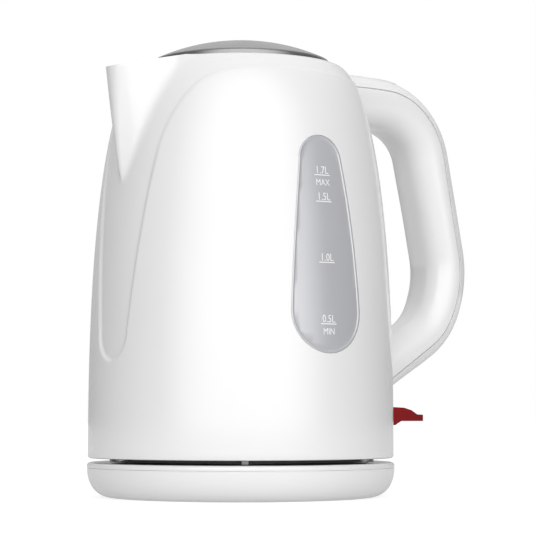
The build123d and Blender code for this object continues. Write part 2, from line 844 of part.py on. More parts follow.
def make_handle_cover():
    seam = handle_split + 0.05
    cover = handle_run(handle_half(seam, True) - handle_section(handle_wall))
    solid_half = handle_run(handle_half(seam, True, handle_wall - 0.3))
    stop = span(latch_spring_x[1] + 0.1, latch_spring_x[1] + 1.9, -6, 6, handle_z + 1, handle_z + 13)
    cover += stop & solid_half
    for spot in handle_screw_spots():
        boss = post(handle_boss, handle_depth / 2 + seam, handle_depth)
        cover += (spot * boss) & solid_half
        cover -= spot * post(handle_bore, handle_depth / 2, handle_depth - handle_wall)
    half_l, half_w = button_length / 2 + 0.3, button_width / 2 + 0.3
    hole = span(button_x - half_l, button_x + half_l, -half_w, half_w, handle_z + 7, rim_z + 20)
    hole = fillet(hole.edges().filter_by(Axis.Z), 3.2)
    return cover - hole - handle_trim()


def make_handle_screws():
    one = screw(1.2, 17.0, 2.7, 1.5)
    return together([spot * Pos(0, 0, handle_seat - 0.05) * one for spot in handle_screw_spots()])


def make_steam_tube():
    path = FilletPolyline(
        (rim_radius + 3, 0, tube_in_z),
        (handle_reach - 25, 0, tube_in_z),
        (handle_reach - 6, 0, handle_z - 92.5),
        (handle_reach - 17, 0, handle_z - 115),
        (jug_radius + 7.6, 0, handle_z - 135.6),
        (jug_radius + 2.5, 0, handle_z - 143),
        (jug_radius + 2.5, 0, tube_out_z),
        (70, 0, tube_out_z),
        radius=[26, 36, 24, 5, 5, 2.9],
    )
    section = Plane(path @ 0, z_dir=path % 0) * (Circle(tube_radius) - Circle(tube_radius - 0.7))
    return sweep(section, path)


# ---------------------------------------------------------------- lid button and latch
wedge_c = latch_low_z - (button_x - 1.0)    # the wedge's face is x = z - wedge_c
latch_end_x = button_x + 5.0
latch_spring_x = (latch_end_x + 0.2, latch_end_x + 7.6)


def make_lid_button():
    half_l, half_w = button_length / 2, button_width / 2
    under = handle_z + handle_depth / 2 - handle_wall
    grown = handle_run(handle_section(-button_stand))
    cap = span(button_x - half_l, button_x + half_l, -half_w, half_w, under - 3.4, rim_z + 20)
    cap = fillet(cap.edges().filter_by(Axis.Z), 2.9) & grown
    skirt = span(button_x - half_l - 1.2, button_x + half_l + 1.2, -half_w - 1.2, half_w + 1.2, under - 3.4, under)
    cap += skirt & handle_run(handle_section(handle_wall + 0.3))
    high = under - 3.3
    low = latch_low_z - 2.8
    left = button_x - 4.0
    right = high - wedge_c - 0.2
    wedge = [(left, high), (right, high), (left + 0.6, high - (right - left - 0.6)), (left, low)]
    return cap + slab_xz(wedge, -2.4, 2.4)


def make_latch_slider():
    low, high = latch_low_z, latch_high_z
    bar = span(hinge_pocket[0] - 0.3, latch_end_x, -latch_half_width, latch_half_width, low, high)
    window = [
        (button_x - 4.0 - button_travel - 0.5, low - 1),
        (low - 1 - wedge_c + 0.15, low - 1),
        (high + 1 - wedge_c + 0.15, high + 1),
        (button_x - 4.0 - button_travel - 0.5, high + 1),
    ]
    return bar - slab_xz(window, -2.8, 2.8)


def coil(radius, wire, length, turns):
    """A compression spring along Z from z = 0."""
    path = Helix(pitch=(length - wire * 2) / turns, height=length - wire * 2, radius=radius)
    section = Plane(path @ 0, z_dir=path % 0) * Circle(wire)
    return Pos(0, 0, wire) * sweep(section, path, is_frenet=True)


def make_latch_spring():
    x0, x1 = latch_spring_x
    middle = (latch_low_z + latch_high_z) / 2 - 0.6
    return Pos(x0, 0, middle) * Rot(0, 90, 0) * coil(1.9, 0.3, x1 - x0, 6)


# ---------------------------------------------------------------- lid
def make_lid_cover():
    arch = lid_rise - lid_side
    sphere = (lid_radius**2 + arch**2) / (2 * arch)
    centre_z = rim_z + lid_rise - sphere
    edge_z = rim_z + lid_side
    inner_r = lid_radius - lid_wall
    inner_sphere = sphere - lid_wall
    inner_z = centre_z + sqrt(inner_sphere**2 - inner_r**2)
    half = lid_radius / 2
    outer_mid = (half, centre_z + sqrt(sphere**2 - half**2))
    inner_mid = (half, centre_z + sqrt(inner_sphere**2 - half**2))
    crown = (0, centre_z + sphere)
    under = (0, centre_z + inner_sphere)
    low = rim_z - lid_edge
    dome = turned(
        ThreePointArc(crown, outer_mid, (lid_radius, edge_z)),
        Line((lid_radius, edge_z), (lid_radius, low)),
        Line((lid_radius, low), (inner_r, low)),
        Line((inner_r, low), (inner_r, inner_z)),
        ThreePointArc((inner_r, inner_z), inner_mid, under),
        Line(under, crown),
    )
    shoulder = dome.edges().filter_by(GeomType.CIRCLE).filter_by_position(Axis.Z, edge_z - 0.1, edge_z + 0.1)
    dome = fillet(shoulder.sort_by(SortBy.RADIUS)[-1], lid_round)
    inside = Pos(0, 0, centre_z) * Sphere(inner_sphere + 0.3)
    boss_low = low - 0.1 + lid_post_height + 0.1
    for x, y, _ in around(3, lid_screw_ring, 60):
        boss = post(3.5, boss_low, rim_z + lid_rise, x, y) & inside
        dome += boss - post(1.3, boss_low - 1, boss_low + 3.2, x, y)
    return dome


liner_radius = 44.0
plug_radius = 43.0
lid_post_height = 5.0


def make_lid_liner():
    top = rim_z - lid_edge - 0.1
    low = top - 2.2
    plug_low = low - 9.0
    liner = post(liner_radius, low, top)
    liner += ring(plug_radius, plug_radius - 2.0, plug_low, low + 0.1)
    liner -= ring(plug_radius + 1, plug_radius - 0.8, plug_low + 3.0, plug_low + 5.4)
    for x, y, _ in around(3, lid_screw_ring, 60):
        liner += ring(3.5, 1.3, top - 0.1, top + lid_post_height, x, y)
        liner -= post(1.3, low - 1, top + 9, x, y)
    liner += span(40, hinge_x, -knuckle_half_width, knuckle_half_width, low, top)
    liner += rod_y(knuckle_radius, -hinge_pocket[1] + 0.4, knuckle_half_width, hinge_x, hinge_z)
    liner += span(hinge_x, hinge_x + 6.4, -4.0, 4.0, hinge_z - 1.2, hinge_z + 1.2)
    return liner - rod_y(hinge_pin_radius + 0.08, -99, 99, hinge_x, hinge_z)


lid_screw_ring = 26.0


def make_lid_seal():
    plug_low = rim_z - lid_edge - 0.1 - 2.2 - 9.0
    outer = neck_radius - 0.5
    seal = ring(plug_radius + 0.1, plug_radius - 0.7, plug_low + 3.1, plug_low + 5.3)
    lip = ring(outer, plug_radius, plug_low + 3.6, plug_low + 4.8)
    return seal + lip


def make_lid_screws():
    low = rim_z - lid_edge - 0.1 - 2.2
    one = screw(1.2, 9.6, 2.6, 1.4)
    return together([Pos(x, y, low - 0.05) * one for x, y, _ in around(3, lid_screw_ring, 60)])


def make_hinge_pin():
    return rod_y(hinge_pin_radius, -14.0, 14.0, hinge_x, hinge_z)


def make_lid_spring():
    """Torsion spring on the hinge pin, with one leg on the pocket floor and one under the lid."""
    coils = Pos(hinge_x, knuckle_half_width + 0.5, hinge_z) * Rot(-90, 0, 0) * coil(1.95, 0.35, 4.4, 5)
    leg = rod_x(0.35, hinge_x - 5.5, hinge_x - 0.2, knuckle_half_width + 0.95, hinge_z - 2.3)
    return coils + leg


# ---------------------------------------------------------------- spout filter
def filter_plane():
    """The plane the filter slides in: local X across, local Y up along the slide."""
    lean = Vector(filter_lean[0], 0, filter_lean[1]).normalized()
    return Plane((filter_foot[0], 0, filter_foot[1]), x_dir=(0, 1, 0), z_dir=Vector(0, 1, 0).cross(lean))


filter_height = 38.0
filter_rim = 2.4


def filter_slab(x0, x1, y0, y1, z0, z1):
    return filter_plane() * span(x0, x1, y0, y1, z0, z1)


def make_filter_frame():
    half = filter_half_width
    frame = filter_slab(-half, half, 0, filter_height, -0.9, 0.9)
    inner = half - filter_rim
    frame -= filter_slab(-inner, inner, filter_rim, filter_height - filter_rim - 2, -2, 2)
    frame += filter_slab(-0.8, 0.8, filter_rim - 0.1, filter_height - filter_rim - 1.9, -0.8, 0.0)
    middle = filter_height / 2
    frame += filter_slab(-inner - 0.1, inner + 0.1, middle - 0.8, middle + 0.8, -0.8, 0.0)
    return frame


def make_filter_mesh():
    inner = filter_half_width - filter_rim - 0.05
    return filter_slab(-inner, inner, filter_rim + 0.05, filter_height - filter_rim - 2.05, 0.05, 0.35)


# ---------------------------------------------------------------- write every piece
PIECES = {
    "base_pan": make_base_pan,
    "base_cover": make_base_cover,
    "base_feet": make_base_feet,
    "base_screws": make_base_screws,
    "base_connector": make_base_connector,
    "base_contacts": make_base_contacts,
    "cord_gland": make_cord_gland,
    "cord_clamp": make_cord_clamp,
    "cord_clamp_screws": make_clamp_screws,
    "base_leads": make_base_leads,
    "jug_shell": make_jug_shell,
    "jug_floor": make_jug_floor,
    "spout": make_spout,
    "lid_collar": make_lid_collar,
    "window_right": lambda: make_window(-1),
    "window_left": lambda: make_window(1),
    "bottom_cover": make_bottom_cover,
    "bottom_screws": make_bottom_screws,
    "jug_feet": make_jug_feet,
    "heater_plate": make_heater_plate,
    "heater_seal": make_heater_seal,
    "heater_diffuser": make_heater_diffuser,
    "heater_element": make_heater_element,
    "element_terminals": make_element_terminals,
    "heater_clamp_ring": make_clamp_ring,
    "heater_clamp_screws": make_clamp_screws_upper,
    "control_body": make_control_body,
    "bimetal_discs": make_bimetal_discs,
    "jug_connector": make_jug_connector,
    "connector_pin": make_connector_pin,
    "switch_bracket": make_switch_bracket,
    "switch_pivot": make_switch_pivot,
    "switch_lever": make_switch_lever,
    "trip_lever": make_trip_lever,
    "steam_bimetal": make_steam_bimetal,
    "switch_lamp": make_switch_lamp,
    "lamp_leads": make_lamp_leads,
    "handle_frame": make_handle_frame,
    "handle_cover": make_handle_cover,
    "handle_screws": make_handle_screws,
    "steam_tube": make_steam_tube,
    "lid_button": make_lid_button,
    "latch_slider": make_latch_slider,
    "latch_spring": make_latch_spring,
    "lid_cover": make_lid_cover,
    "lid_liner": make_lid_liner,
    "lid_seal": make_lid_seal,
    "lid_screws": make_lid_screws,
    "hinge_pin": make_hinge_pin,
    "lid_spring": make_lid_spring,
    "filter_frame": make_filter_frame,
    "filter_mesh": make_filter_mesh,
}

os.makedirs("parts", exist_ok=True)
for name, make in PIECES.items():
    export_step(make(), f"parts/{name}.step")
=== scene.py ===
import json
from math import asin, atan2, cos, hypot, pi, radians, sin, sqrt

import bmesh
import bpy
from mathutils import Matrix, Vector


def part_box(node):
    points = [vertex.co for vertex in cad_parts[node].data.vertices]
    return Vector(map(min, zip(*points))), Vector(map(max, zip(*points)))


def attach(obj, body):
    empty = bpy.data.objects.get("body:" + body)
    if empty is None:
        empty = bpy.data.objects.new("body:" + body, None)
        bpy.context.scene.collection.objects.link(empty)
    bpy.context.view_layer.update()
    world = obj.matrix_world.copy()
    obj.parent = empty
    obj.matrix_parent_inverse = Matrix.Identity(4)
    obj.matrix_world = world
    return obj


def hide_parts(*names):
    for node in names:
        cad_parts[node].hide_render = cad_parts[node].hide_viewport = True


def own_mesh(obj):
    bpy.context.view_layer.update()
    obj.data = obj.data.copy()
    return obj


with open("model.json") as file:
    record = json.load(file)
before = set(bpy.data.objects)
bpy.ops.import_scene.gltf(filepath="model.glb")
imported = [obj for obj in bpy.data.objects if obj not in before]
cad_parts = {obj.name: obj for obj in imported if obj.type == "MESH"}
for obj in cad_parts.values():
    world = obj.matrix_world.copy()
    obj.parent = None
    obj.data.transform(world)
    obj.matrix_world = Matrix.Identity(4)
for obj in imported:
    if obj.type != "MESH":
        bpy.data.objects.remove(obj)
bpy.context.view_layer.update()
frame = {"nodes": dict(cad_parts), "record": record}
nodes = frame["nodes"]
slotOfNode = {row["node"]: row["material_slot"] for row in frame["record"]["subparts"]}
mm = 0.001
print("frame loaded,", len(nodes), "nodes")

# heights and radii that everything else is set from
jugLow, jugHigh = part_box("jug_shell")
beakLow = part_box("spout")[0]
footZ, rimZ = jugLow.z, jugHigh.z
jugRadius = jugHigh.y


def smoothstep(value):
    t = min(1.0, max(0.0, value))
    return t * t * (3 - 2 * t)


def mix(a, b, t):
    return a + (b - a) * t


def softMax(a, b, width):
    # the larger of two radii, rounded where they cross
    h = min(1.0, max(0.0, 0.5 + 0.5 * (a - b) / width))
    return mix(b, a, h) + width * h * (1 - h)


def arcThrough(p, q, r, count):
    # points of the circle through three points, p and r included
    ax, ay, bx, by = q[0] - p[0], q[1] - p[1], r[0] - p[0], r[1] - p[1]
    d = 2 * (ax * by - ay * bx)
    ux = (by * (ax * ax + ay * ay) - ay * (bx * bx + by * by)) / d
    uy = (ax * (bx * bx + by * by) - bx * (ax * ax + ay * ay)) / d
    centre, radius = (p[0] + ux, p[1] + uy), hypot(ux, uy)
    start = atan2(p[1] - centre[1], p[0] - centre[0])
    turn = atan2(r[1] - centre[1], r[0] - centre[0]) - start
    middle = (atan2(q[1] - centre[1], q[0] - centre[0]) - start) % (2 * pi)
    turn = turn % (2 * pi)
    if middle > turn:
        turn -= 2 * pi
    angles = [start + turn * i / count for i in range(count + 1)]
    return [(centre[0] + radius * cos(a), centre[1] + radius * sin(a)) for a in angles]


# finishes: two shared node groups, and one material for each slot
def shaderGroup(name, inputs, outputs):
    tree = bpy.data.node_groups.new(name, "ShaderNodeTree")
    for label, kind, value in inputs:
        socket = tree.interface.new_socket(name=label, in_out="INPUT", socket_type=kind)
        if value is not None:
            socket.default_value = value
    for label, kind in outputs:
        tree.interface.new_socket(name=label, in_out="OUTPUT", socket_type=kind)
    return tree, tree.nodes.new("NodeGroupInput"), tree.nodes.new("NodeGroupOutput")


def addNode(tree, kind, settings=None, **values):
    node = tree.nodes.new(kind)
    for key, value in (settings or {}).items():
        setattr(node, key, value)
    for key, value in values.items():
        node.inputs[key].default_value = value
    return node


def ramp(tree, source, low, high, toLow, toHigh):
    # a value stretched from one range onto another, kept inside it
    node = addNode(tree, "ShaderNodeMapRange")
    node.clamp = True
    tree.links.new(source, node.inputs["Value"])
    for label, value in (("From Min", low), ("From Max", high), ("To Min", toLow), ("To Max", toHigh)):
        if isinstance(value, bpy.types.NodeSocket):
            tree.links.new(value, node.inputs[label])
        else:
            node.inputs[label].default_value = value
    return node.outputs["Result"]


def blendColor(tree, factor, first, second):
    node = addNode(tree, "ShaderNodeMix", {"data_type": "RGBA"})
    tree.links.new(factor, node.inputs[0])
    tree.links.new(first, node.inputs[6])
    tree.links.new(second, node.inputs[7])
    return node.outputs[2]


def combine(tree, kind, first, second):
    node = addNode(tree, "ShaderNodeMath", {"operation": kind})
    for socket, value in zip(node.inputs, (first, second)):
        if isinstance(value, bpy.types.NodeSocket):
            tree.links.new(value, socket)
        else:
            socket.default_value = value
    return node.outputs[0]


def buildMouldedFinish():
    # injection-moulded plastic: slow colour drift, flow marks, a faint orange peel and fine dust
    tree, source, target = shaderGroup(
        "mouldedFinish",
        [
            ("Vector", "NodeSocketVector", None),
            ("Tint", "NodeSocketColor", (0.8, 0.8, 0.8, 1)),
            ("Drift", "NodeSocketColor", (0.7, 0.7, 0.7, 1)),
            ("Peel", "NodeSocketFloat", 0.05),
            ("Grain", "NodeSocketFloat", 0.0),
            ("Smooth", "NodeSocketFloat", 0.2),
            ("Worn", "NodeSocketFloat", 0.3),
        ],
        [("Color", "NodeSocketColor"), ("Roughness", "NodeSocketFloat"), ("Normal", "NodeSocketVector")],
    )
    link = tree.links.new
    slow = addNode(tree, "ShaderNodeTexNoise", Scale=14.0, Detail=2.0)
    flow = addNode(tree, "ShaderNodeTexNoise", Scale=46.0, Detail=4.0, Distortion=0.6)
    peel = addNode(tree, "ShaderNodeTexNoise", Scale=190.0, Detail=1.0)
    grain = addNode(tree, "ShaderNodeTexNoise", Scale=1900.0, Detail=2.0)
    dust = addNode(tree, "ShaderNodeTexVoronoi", Scale=640.0, Randomness=1.0)
    for texture in (slow, flow, peel, grain, dust):
        link(source.outputs["Vector"], texture.inputs["Vector"])
    drift = ramp(tree, slow.outputs["Fac"], 0.35, 0.68, 0.0, 1.0)
    shade = blendColor(tree, drift, source.outputs["Tint"], source.outputs["Drift"])
    speck = ramp(tree, dust.outputs["Distance"], 0.02, 0.07, 0.35, 0.0)
    rare = ramp(tree, flow.outputs["Fac"], 0.52, 0.7, 0.0, 1.0)
    shade = blendColor(tree, combine(tree, "MULTIPLY", speck, rare), shade, source.outputs["Drift"])
    link(shade, target.inputs["Color"])
    wear = ramp(tree, flow.outputs["Fac"], 0.3, 0.75, source.outputs["Smooth"], source.outputs["Worn"])
    link(wear, target.inputs["Roughness"])
    height = combine(tree, "MULTIPLY", peel.outputs["Fac"], source.outputs["Peel"])
    fine = combine(tree, "MULTIPLY", grain.outputs["Fac"], source.outputs["Grain"])
    bump = addNode(tree, "ShaderNodeBump", Strength=1.0, Distance=0.001)
    link(combine(tree, "ADD", height, fine), bump.inputs["Height"])
    link(bump.outputs["Normal"], target.inputs["Normal"])
    return tree


def buildMetalFinish():
    # sheet and turned metal: fine parallel lines across one axis, and slightly uneven shine
    tree, source, target = shaderGroup(
        "metalFinish",
        [
            ("Vector", "NodeSocketVector", None),
            ("Tint", "NodeSocketColor", (0.7, 0.7, 0.7, 1)),
            ("Stain", "NodeSocketColor", (0.5, 0.5, 0.5, 1)),
            ("Lines", "NodeSocketFloat", 0.1),
            ("Smooth", "NodeSocketFloat", 0.25),
            ("Worn", "NodeSocketFloat", 0.45),
        ],
        [("Color", "NodeSocketColor"), ("Roughness", "NodeSocketFloat"), ("Normal", "NodeSocketVector")],
    )
    link = tree.links.new
    stretch = addNode(tree, "ShaderNodeMapping")
    stretch.inputs["Scale"].default_value = (60.0, 2400.0, 1400.0)
    link(source.outputs["Vector"], stretch.inputs["Vector"])
    lines = addNode(tree, "ShaderNodeTexNoise", Scale=1.0, Detail=3.0)
    link(stretch.outputs["Vector"], lines.inputs["Vector"])
    patches = addNode(tree, "ShaderNodeTexNoise", Scale=70.0, Detail=5.0)
    link(source.outputs["Vector"], patches.inputs["Vector"])
    stain = ramp(tree, patches.outputs["Fac"], 0.45, 0.72, 0.0, 0.8)
    link(blendColor(tree, stain, source.outputs["Tint"], source.outputs["Stain"]), target.inputs["Color"])
    mixed = combine(tree, "MULTIPLY", lines.outputs["Fac"], patches.outputs["Fac"])
    wear = ramp(tree, mixed, 0.12, 0.4, source.outputs["Smooth"], source.outputs["Worn"])
    link(wear, target.inputs["Roughness"])
    bump = addNode(tree, "ShaderNodeBump", Strength=1.0, Distance=0.001)
    link(combine(tree, "MULTIPLY", lines.outputs["Fac"], source.outputs["Lines"]), bump.inputs["Height"])
    link(bump.outputs["Normal"], target.inputs["Normal"])
    return tree


mouldedFinish = buildMouldedFinish()
metalFinish = buildMetalFinish()


def makeMaterial(name, group, values, shader):
    material = bpy.data.materials.new(name)
    material.use_nodes = True
    tree = material.node_tree
    surface = tree.nodes["Principled BSDF"]
    place = tree.nodes.new("ShaderNodeTexCoord")
    finish = tree.nodes.new("ShaderNodeGroup")
    finish.node_tree = group
    tree.links.new(place.outputs["Object"], finish.inputs["Vector"])
    for key, value in values.items():
        finish.inputs[key].default_value = value
    for key, value in shader.items():
        surface.inputs[key].default_value = value
    tree.links.new(finish.outputs["Color"], surface.inputs["Base Color"])
    tree.links.new(finish.outputs["Roughness"], surface.inputs["Roughness"])
    tree.links.new(finish.outputs["Normal"], surface.inputs["Normal"])
    return material


def grey(value, warm=0.0):
    return (value + warm, value, value - warm, 1.0)


finishes = {
    "white_gloss": ("glossWhite", "moulded", {
        "Tint": grey(0.86), "Drift": grey(0.845), "Peel": 0.02, "Grain": 0.0, "Smooth": 0.13, "Worn": 0.19},
        {"IOR": 1.5, "Coat Weight": 0.6, "Coat Roughness": 0.06, "Coat IOR": 1.55}),
    "white_satin": ("satinWhite", "moulded", {
        "Tint": grey(0.8), "Drift": grey(0.77), "Peel": 0.03, "Grain": 0.01, "Smooth": 0.28, "Worn": 0.38},
        {"IOR": 1.5}),
    "window_grey": ("smokedWindow", "moulded", {
        "Tint": (0.52, 0.525, 0.55, 1), "Drift": (0.495, 0.5, 0.525, 1), "Peel": 0.012, "Grain": 0.0,
        "Smooth": 0.14, "Worn": 0.2},
        {"IOR": 1.6, "Coat Weight": 1.0, "Coat Roughness": 0.05, "Coat IOR": 1.9}),
    "lid_silver": ("silverLacquer", "moulded", {
        "Tint": grey(0.3), "Drift": grey(0.27), "Peel": 0.02, "Grain": 0.006, "Smooth": 0.2, "Worn": 0.27},
        {"Metallic": 0.7, "IOR": 1.4, "Coat Weight": 0.15, "Coat Roughness": 0.06}),
    "switch_red": ("smokedRed", "moulded", {
        "Tint": (0.31, 0.003, 0.006, 1), "Drift": (0.2, 0.001, 0.003, 1), "Peel": 0.02, "Grain": 0.0,
        "Smooth": 0.16, "Worn": 0.26},
        {"IOR": 1.4, "Coat Weight": 0.15, "Coat Roughness": 0.05, "Transmission Weight": 0.1}),
    "inner_grey": ("innerGrey", "moulded", {
        "Tint": grey(0.12), "Drift": grey(0.1), "Peel": 0.03, "Grain": 0.03, "Smooth": 0.42, "Worn": 0.55},
        {"IOR": 1.48}),
    "black_plastic": ("blackNylon", "moulded", {
        "Tint": grey(0.022), "Drift": grey(0.03), "Peel": 0.03, "Grain": 0.03, "Smooth": 0.4, "Worn": 0.56},
        {"IOR": 1.5}),
    "silicone": ("clearSilicone", "moulded", {
        "Tint": grey(0.66, 0.012), "Drift": grey(0.6, 0.02), "Peel": 0.02, "Grain": 0.01, "Smooth": 0.36,
        "Worn": 0.48}, {"IOR": 1.41, "Subsurface Weight": 0.2}),
    "rubber_grey": ("footRubber", "moulded", {
        "Tint": grey(0.06), "Drift": grey(0.085), "Peel": 0.04, "Grain": 0.06, "Smooth": 0.62, "Worn": 0.8},
        {"IOR": 1.48}),
    "steel": ("stainlessSheet", "metal", {
        "Tint": grey(0.62), "Stain": grey(0.5, 0.01), "Lines": 0.03, "Smooth": 0.2, "Worn": 0.36},
        {"Metallic": 1.0}),
    "zinc_steel": ("zincPlate", "metal", {
        "Tint": grey(0.56), "Stain": grey(0.45, 0.015), "Lines": 0.02, "Smooth": 0.3, "Worn": 0.5},
        {"Metallic": 1.0}),
    "alloy": ("castAlloy", "metal", {
        "Tint": grey(0.6), "Stain": grey(0.47), "Lines": 0.05, "Smooth": 0.36, "Worn": 0.55},
        {"Metallic": 1.0}),
    "brass": ("springBrass", "metal", {
        "Tint": (0.62, 0.43, 0.17, 1), "Stain": (0.4, 0.25, 0.09, 1), "Lines": 0.03, "Smooth": 0.24,
        "Worn": 0.42}, {"Metallic": 1.0}),
    "clear_glass": ("lampGlass", "moulded", {
        "Tint": (0.85, 0.35, 0.3, 1), "Drift": (0.78, 0.26, 0.22, 1), "Peel": 0.0, "Grain": 0.0,
        "Smooth": 0.04, "Worn": 0.09}, {"IOR": 1.5, "Transmission Weight": 0.7}),
}
groupOf = {"moulded": mouldedFinish, "metal": metalFinish}
materials = {
    slot: makeMaterial(name, groupOf[kind], values, shader)
    for slot, (name, kind, values, shader) in finishes.items()
}
for name, node in nodes.items():
    node.data.materials.clear()
    node.data.materials.append(materials[slotOfNode[name]])
print("finishes made for", len(materials), "slots")


def newPiece(name, bm, slot, body, stands=(), sharp=35, material=None):
    # the finished mesh becomes an object that rides on a body and stands for CAD nodes
    mesh = bpy.data.meshes.new(name)
    bm.to_mesh(mesh)
    bm.free()
    mesh.shade_smooth()
    mesh.set_sharp_from_angle(angle=radians(sharp))
    mesh.materials.append(material or materials[slot])
    piece = bpy.data.objects.new(name, mesh)
    bpy.context.scene.collection.objects.link(piece)
    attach(piece, body)
    if stands:
        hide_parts(*stands)
    return piece


def spinProfile(bm, points, steps):
    # a chain of (radius, z) points turned once round Z; closed rings come from a closed chain
    verts = [bm.verts.new((r, 0, z)) for r, z in points]
    edges = [bm.edges.new(pair) for pair in zip(verts, verts[1:])]
    if hypot(points[0][0] - points[-1][0], points[0][1] - points[-1][1]) < 1e-9:
        bmesh.ops.remove_doubles(bm, verts=[verts[0], verts[-1]], dist=1e-7)
        edges = [e for e in edges if e.is_valid]
        verts = [v for v in verts if v.is_valid]
    bmesh.ops.spin(
        bm, geom=verts + edges, cent=(0, 0, 0), axis=(0, 0, 1), angle=2 * pi, steps=steps,
        use_merge=True, use_duplicate=False,
    )
    bmesh.ops.remove_doubles(bm, verts=bm.verts, dist=1e-6)
    bmesh.ops.recalc_face_normals(bm, faces=bm.faces)


# jug: one wall with its recessed front strip, band and beak
jug = {
    "columns": 360,
    "crowding": 0.5,               # how much closer the columns stand at the front and back
    "innerRows": 64,
    "crownRows": 14,
    "sideTop": 215.5 * mm,         # the outside's rows are set by height up to here, and by radius above
    "rim": 50.6 * mm,
    "fullness": 2.5,               # shape of the shoulder
    "wall": 2.6 * mm,
    "opening": 46.9 * mm,
    "lipRounds": (0.35 * mm, 0.1 * mm, 0.4 * mm),
    "footRounds": (0.8 * mm, 0.25 * mm, 0.9 * mm),
    "recess": 1.1 * mm,
    "rimRecess": 0.8 * mm,
    "creaseWidth": 1.8 * mm,
    # the recess's outline: a rounded toe, straight flanks, then a long sweep out to the band
    "bandZ": 214.2 * mm,
    "lowZ": 69.0 * mm,
    "lowHalf": 12.8 * mm,
    "toeRise": 15 * mm,
    "toeBulge": (0.68, 4.2 * mm),
    "highZ": 176.0 * mm,
    "highHalf": 24.5 * mm,
    "sweepStart": (4.7 * mm, 16 * mm),
    "sweepMiddle": (12 * mm, 30.5 * mm),
    "sweepBulge": (19 * mm, 2.2 * mm),
    "sweepEnd": 31.5 * mm,
    "bandReach": 99 * mm,
}
beak = {
    "lowZ": 157.0 * mm,
    "tipDrop": 6.0 * mm,
    "tuck": 0.6 * mm,              # how far its lowest point starts inside the jug
    "lean": 0.72,                  # under 1 it swings out early
    "noseLow": 1.2 * mm,
    "nose": 9.5 * mm,              # radius of its front at the tip
    "noseLeast": 0.4 * mm,
    "halfLow": 0.6 * mm,
    "halfGrowth": 24.5 * mm,
    "swell": 0.8,
    "widestTurn": 1.2,             # radians from its middle to where it can't reach
    "fade": 0.35,
    "wall": 2.2 * mm,
    "floorRise": 3 * mm,           # the channel starts this much above the outside's foot
    "mouthBackX": -50.0 * mm,
    "mouthBackDrop": 0.4 * mm,
    "blendLow": 0.8 * mm,
    "blendHigh": 4.0 * mm,
}
tipZ = rimZ - beak["tipDrop"]
spoutReach = -beakLow.x


def leanAt(z):
    # 1 at the jug's foot and 0 at its rim
    rise = min(1.0, max(0.0, (z - footZ) / (rimZ - footZ)))
    return sqrt(max(0.0, 1 - rise ** jug["fullness"]))


def recessedRadius(z, inset=0.0):
    rim = jug["rim"] - jug["rimRecess"] - inset
    foot = jugRadius - jug["recess"] - inset
    return rim + (foot - rim) * leanAt(z)


def raisedRadius(z, inset=0.0):
    rim = jug["rim"] - inset
    return rim + (jugRadius - inset - rim) * leanAt(z)


def recessBorder():
    low, half, high, wide, band = jug["lowZ"], jug["lowHalf"], jug["highZ"], jug["highHalf"], jug["bandZ"]
    rise = jug["toeRise"]
    toe = (half * jug["toeBulge"][0], low + jug["toeBulge"][1])
    points = arcThrough((0, low), toe, (half, low + rise), 12)
    for i in range(1, 8):
        points.append((half + (wide - half) * i / 8, low + rise + (high - low - rise) * i / 8))
    start, middle, bulge = (
        (wide + jug["sweepStart"][0], high + jug["sweepStart"][1]),
        (wide + jug["sweepMiddle"][0], high + jug["sweepMiddle"][1]),
        (wide + jug["sweepBulge"][0], band - jug["sweepBulge"][1]),
    )
    points += arcThrough((wide, high), start, middle, 10)
    points += arcThrough(middle, bulge, (wide + jug["sweepEnd"], band), 10)[1:]
    return points + [(jug["bandReach"], band)]


borderPoints = recessBorder()


def borderDistance(y, z):
    # how far a point lies outside the recess, seen from the front; negative inside it
    best = 1.0
    above = 0.0
    for (y0, z0), (y1, z1) in zip(borderPoints, borderPoints[1:]):
        dy, dz = y1 - y0, z1 - z0
        t = min(1.0, max(0.0, ((y - y0) * dy + (z - z0) * dz) / (dy * dy + dz * dz)))
        best = min(best, hypot(y - y0 - dy * t, z - z0 - dz * t))
        if y0 <= y <= y1:
            above = z - (z0 + dz * (y - y0) / max(1e-9, dy))
    return -best if above > 0 else best


def beakRadius(turn, z, inset=0.0):
    # distance from the jug's axis to the beak's side; turn is measured from the way it points
    grown = (z - beak["lowZ"]) / (tipZ - beak["lowZ"])
    if grown <= 0 or abs(turn) > beak["widestTurn"]:
        return 0.0
    foot = recessedRadius(beak["lowZ"]) - beak["tuck"]
    tip = foot + (spoutReach - foot) * grown ** beak["lean"] - inset
    swollen = min(1.0, grown) ** beak["swell"]
    nose = beak["noseLow"] + (beak["nose"] - beak["noseLow"]) * swollen - inset * 0.8
    nose = max(beak["noseLeast"], nose)
    risen = (z - beak["lowZ"]) / (rimZ - beak["lowZ"])
    half = beak["halfLow"] + beak["halfGrowth"] * risen ** beak["swell"] - inset
    half = max(half, nose + 0.2 * mm)
    root = sqrt(raisedRadius(z, jug["recess"]) ** 2 - half ** 2)
    centre = tip - nose
    flare = asin(min(0.9, (half - nose) / hypot(half - nose, centre - root)))
    side = (centre + nose * sin(flare), nose * cos(flare))
    turn = abs(turn)
    rootTurn, rootDistance = atan2(half, root), hypot(half, root)
    if turn <= atan2(side[1], side[0]):
        return centre * cos(turn) + sqrt(max(0.0, nose ** 2 - (centre * sin(turn)) ** 2))
    run = (root - side[0], half - side[1])
    if turn > rootTurn or run[0] >= 0:
        fall = (root * run[0] + half * run[1]) / (root * run[1] - half * run[0])
        return rootDistance * (1 - max(beak["fade"], -fall) * max(0.0, turn - rootTurn))
    return (side[0] * run[1] - side[1] * run[0]) / (cos(turn) * run[1] - sin(turn) * run[0])


